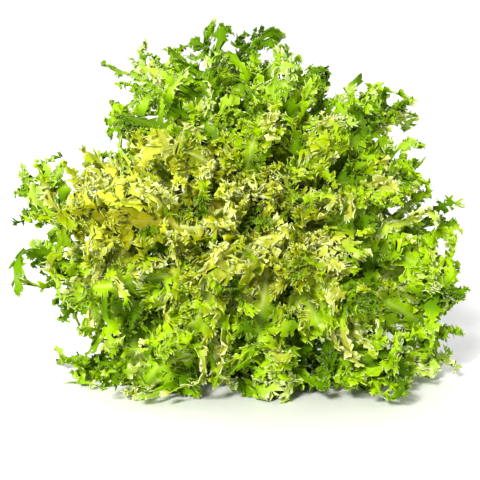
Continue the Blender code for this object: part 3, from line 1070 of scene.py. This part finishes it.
        # Age with the painted light and shade spots laid on.
        age = np.concatenate(self.age) - light_and_shade_at(world)
        edge, vein, painted_shade = (np.concatenate(values) for values in (self.edge, self.vein, self.painted_shade))
        self.describe(mesh, edge, age, vein, painted_shade)
        obj = bpy.data.objects.new(name, mesh)
        bpy.context.scene.collection.objects.link(obj)
        solid = obj.modifiers.new("thickness", "SOLIDIFY")
        solid.thickness = BLADE
        solid.offset = 0
        select_only(obj)
        bpy.ops.object.modifier_apply(modifier=solid.name)
        return obj

    def describe(self, mesh, edge, age, rib, painted_shade):
        """What the leaf's material reads at each point."""
        for key, values in (("edge", edge), ("age", age), ("rib", rib), ("painted_shade", painted_shade)):
            layer = mesh.attributes.new(key, "FLOAT", "POINT")
            layer.data.foreach_set("value", np.asarray(values, dtype=np.float32))

    def finish(self, materials):
        """The leaf as one object: its frills with the rib joined on."""
        leaf = self.leaf
        frills = self.frills(leaf.name + "_frills")
        rib = self.rib(leaf.name + "_look")
        select_only(rib)
        frills.select_set(True)
        bpy.ops.object.join()
        rib.data.materials.clear()
        rib.data.materials.append(materials[leaf.slot])
        bpy.ops.object.shade_smooth_by_angle(angle=SMOOTH_ANGLE)
        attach(rib, "root")
        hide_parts(leaf.name)


def select_none():
    """Nothing selected."""
    bpy.ops.object.select_all(action="DESELECT")


def select_only(obj):
    """One object selected and active."""
    select_none()
    obj.select_set(True)
    bpy.context.view_layer.objects.active = obj


# The stem


def make_stem(material):
    """The crown and stem, turned from the solids' profile, with leaf scars and a rough cut."""
    turn, crown = head_frame()
    mesh = bpy.data.meshes.new("stem_look")
    profile = stem_profile()
    mesh.from_pydata([(r, 0, z) for r, z in profile], [(i, i + 1) for i in range(len(profile) - 1)], [])
    obj = bpy.data.objects.new("stem_look", mesh)
    bpy.context.scene.collection.objects.link(obj)
    spin = obj.modifiers.new("turn", "SCREW")
    spin.steps = spin.render_steps = STEM_STEPS
    spin.use_merge_vertices = True
    spin.merge_threshold = 0.00005
    smooth = obj.modifiers.new("round", "SUBSURF")
    smooth.levels = smooth.render_levels = STEM_ROUNDING
    select_only(obj)
    for modifier in (spin.name, smooth.name):
        bpy.ops.object.modifier_apply(modifier=modifier)
    mesh = obj.data
    cut = []
    for vertex in mesh.vertices:
        x, y, z = vertex.co
        angle = math.atan2(y, x)
        out = math.hypot(x, y)
        is_cut = ease((CUT_BROWNED - STEM_LENGTH - z) / 0.0025) * (1.0 if out < STEM_RADIUS else 0.8)
        cut.append(float(is_cut))
        scar = SCAR_DEPTH * math.sin(5 * angle + 900 * z) * ease((-z) / 0.006) * (1 - is_cut)
        inset = (abs(scar) + STEM_INSET) / max(out, CLOSE)
        vertex.co.x -= x * inset
        vertex.co.y -= y * inset
    layer = mesh.attributes.new("cut", "FLOAT", "POINT")
    layer.data.foreach_set("value", cut)
    mesh.transform(Matrix.Translation(crown) @ turn)
    mesh.materials.append(material)
    select_only(obj)
    bpy.ops.object.shade_smooth_by_angle(angle=SMOOTH_ANGLE)
    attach(obj, "root")
    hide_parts("stem")


# The floor, the lights and the camera

FLOOR_SIZE = 80
WHITE = (1, 1, 1, 1)
WALL_STRENGTH = 1.05
ROOM_STRENGTH = 0.45
KEY_FROM = (-0.5, -1.6, 0.9)
KEY_STRENGTH = 5.5
KEY_COLOUR = (1, 0.99, 0.95)
REAR_FROM = (-1.1, 0.6, 0.8)
REAR_WATTS = 5
REAR_COLOUR = (1, 1, 0.96)
LIGHTS_AIM = (0, 0, 0.12)


def make_floor():
    """A white sheet that the head lies on, out to the white behind."""
    select_none()
    bpy.ops.mesh.primitive_plane_add(size=FLOOR_SIZE)
    floor = bpy.context.active_object
    floor.name = "floor"
    material, tree = new_material("floor")
    sockets = {"Base Color": (0.93, 0.93, 0.93, 1), "Roughness": 0.6}
    front = node(tree, "ShaderNodeBsdfPrincipled", {}, sockets, "BSDF")
    node(tree, "ShaderNodeOutputMaterial", {}, {"Surface": front})
    floor.data.materials.append(material)


def add_light(name, kind, place_at, strength, colour, **settings):
    """A light at a place, turned to the head."""
    light = bpy.data.lights.new(name, kind)
    light.energy = strength
    light.color = colour
    for key, value in settings.items():
        setattr(light, key, value)
    obj = bpy.data.objects.new(name, light)
    bpy.context.scene.collection.objects.link(obj)
    obj.location = place_at
    obj.rotation_euler = (Vector(LIGHTS_AIM) - Vector(place_at)).to_track_quat("-Z", "Y").to_euler()


def make_lights():
    """White behind and below, dimmer in front, with a key from the upper left and a weak rear light."""
    world = bpy.data.worlds.new("studio")
    world.use_nodes = True
    tree = world.node_tree
    tree.nodes.clear()
    way = node(tree, "ShaderNodeTexCoord", {}, {}, "Generated")
    rear = node(tree, "ShaderNodeSeparateXYZ", {}, {"Vector": way}, "Y").ramp(-0.3, 0.7)
    low = 1 - node(tree, "ShaderNodeSeparateXYZ", {}, {"Vector": way}, "Z").ramp(0.04, 0.4)
    wall = node(tree, "ShaderNodeBackground", {}, {"Color": WHITE, "Strength": WALL_STRENGTH}, 0)
    room = node(tree, "ShaderNodeBackground", {}, {"Color": WHITE, "Strength": ROOM_STRENGTH}, 0)
    seen = node(tree, "ShaderNodeMixShader", {}, {0: rear + low - rear * low, 1: room, 2: wall}, "Shader")
    node(tree, "ShaderNodeOutputWorld", {}, {"Surface": seen})
    bpy.context.scene.world = world
    add_light("key", "SUN", KEY_FROM, KEY_STRENGTH, KEY_COLOUR, angle=math.radians(9))
    add_light("rear", "AREA", REAR_FROM, REAR_WATTS, REAR_COLOUR, size=0.8)


# The photograph's frame: what the camera is aimed at shows at AIM_PIXEL.
CAMERA_DISTANCE = 0.95
CAMERA_RISE = math.radians(6)
CAMERA_AIM = (0, 0, 0.118)
AIM_PIXEL = (235, 212)
LENS_FRAMES = 2.95
FRAME_PIXELS = 480


def make_camera():
    """The photograph's view: a long lens, a little above the surface, facing the rosette."""
    camera = bpy.data.cameras.new("camera")
    camera.sensor_width = 36
    camera.sensor_fit = "HORIZONTAL"
    camera.lens = camera.sensor_width * LENS_FRAMES
    obj = bpy.data.objects.new("camera", camera)
    bpy.context.scene.collection.objects.link(obj)
    obj.location = (
        CAMERA_AIM[0],
        CAMERA_AIM[1] - CAMERA_DISTANCE * math.cos(CAMERA_RISE),
        CAMERA_AIM[2] + CAMERA_DISTANCE * math.sin(CAMERA_RISE),
    )
    focal = FRAME_PIXELS * LENS_FRAMES
    down = math.atan((FRAME_PIXELS / 2 - AIM_PIXEL[1]) / focal)
    aside = math.atan((FRAME_PIXELS / 2 - AIM_PIXEL[0]) / focal)
    obj.rotation_euler = (math.pi / 2 - CAMERA_RISE - down, 0, -aside)
    bpy.context.scene.camera = obj


CROWN_SHIFT = np.array(head_frame()[1] - Vector((0, 0, CROWN_HEIGHT)))

bpy.context.scene.view_settings.view_transform = "Standard"
materials = {name: leaf_material(name) for name in ("leaf_heart", "leaf_pale", "leaf_green")}
sprigs = make_sprigs()
for leaf in plan_leaves():
    FineLeaf(leaf, sprigs).finish(materials)
make_stem(stem_material())
make_floor()
make_lights()
make_camera()
